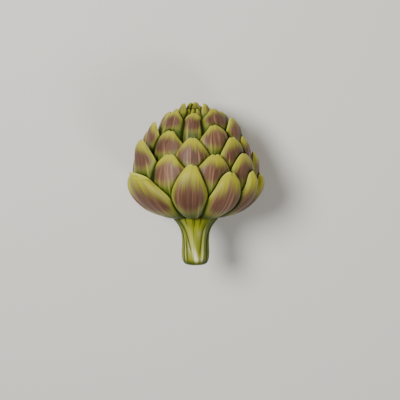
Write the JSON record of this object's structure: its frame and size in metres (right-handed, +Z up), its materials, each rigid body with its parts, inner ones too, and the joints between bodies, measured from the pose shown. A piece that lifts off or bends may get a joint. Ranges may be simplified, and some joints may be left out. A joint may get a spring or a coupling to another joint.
{
  "type": "artichoke",
  "caption": "Globe artichoke with a short cut stem, lying on its side: overlapping fleshy bracts in staggered rows close into a dome over a ribbed stem that swells into the receptacle.",
  "frame": {"origin": "centre of the bounding box, on the surface that the artichoke lies on", "axes": "+Y along the head's axis from the cut stem towards the tip (the axis dips 10.5 degrees at the tip), +Z up, +X to the right of the side that faces up"},
  "size_m": [0.0974, 0.1202, 0.0951],
  "materials": {
    "bract_skin": "waxy bract skin: yellow-green rim and tip, olive green base, mauve-brown blush with fine lighter streaks lengthwise",
    "tip_bract_skin": "waxy skin of the small bracts at the tip: yellow-green with a faint mauve blush",
    "stem_skin": "smooth ribbed stem skin, yellow-green with darker green grooves, paler glossy ribs and a pale cut end"
  },
  "bodies": {
    "root": {"stem": "stem_skin", "bract_row1_01": "bract_skin", "bract_row1_02": "bract_skin", "bract_row1_03": "bract_skin", "bract_row1_04": "bract_skin", "bract_row1_05": "bract_skin", "bract_row1_06": "bract_skin", "bract_row1_07": "bract_skin", "bract_row1_08": "bract_skin", "bract_row1_09": "bract_skin", "bract_row1_10": "bract_skin", "bract_row2_01": "bract_skin", "bract_row2_02": "bract_skin", "bract_row2_03": "bract_skin", "bract_row2_04": "bract_skin", "bract_row2_05": "bract_skin", "bract_row2_06": "bract_skin", "bract_row2_07": "bract_skin", "bract_row2_08": "bract_skin", "bract_row2_09": "bract_skin", "bract_row3_01": "bract_skin", "bract_row3_02": "bract_skin", "bract_row3_03": "bract_skin", "bract_row3_04": "bract_skin", "bract_row3_05": "bract_skin", "bract_row3_06": "bract_skin", "bract_row3_07": "bract_skin", "bract_row3_08": "bract_skin", "bract_row3_09": "bract_skin", "bract_row4_01": "bract_skin", "bract_row4_02": "bract_skin", "bract_row4_03": "bract_skin", "bract_row4_04": "bract_skin", "bract_row4_05": "bract_skin", "bract_row4_06": "bract_skin", "bract_row4_07": "bract_skin", "bract_row5_01": "bract_skin", "bract_row5_02": "bract_skin", "bract_row5_03": "bract_skin", "bract_row5_04": "bract_skin", "bract_row5_05": "bract_skin", "bract_row5_06": "bract_skin", "bract_row5_07": "bract_skin", "bract_row5_08": "bract_skin", "bract_row6_01": "tip_bract_skin", "bract_row6_02": "tip_bract_skin", "bract_row6_03": "tip_bract_skin", "bract_row6_04": "tip_bract_skin", "bract_row6_05": "tip_bract_skin", "bract_row6_06": "tip_bract_skin", "bract_row6_07": "tip_bract_skin", "bract_row7_01": "tip_bract_skin", "bract_row7_02": "tip_bract_skin", "bract_row7_03": "tip_bract_skin", "bract_row7_04": "tip_bract_skin", "bract_row7_05": "tip_bract_skin", "bract_row7_06": "tip_bract_skin", "bract_row8_01": "tip_bract_skin", "bract_row8_02": "tip_bract_skin", "bract_row8_03": "tip_bract_skin"}
  },
  "joints": []
}
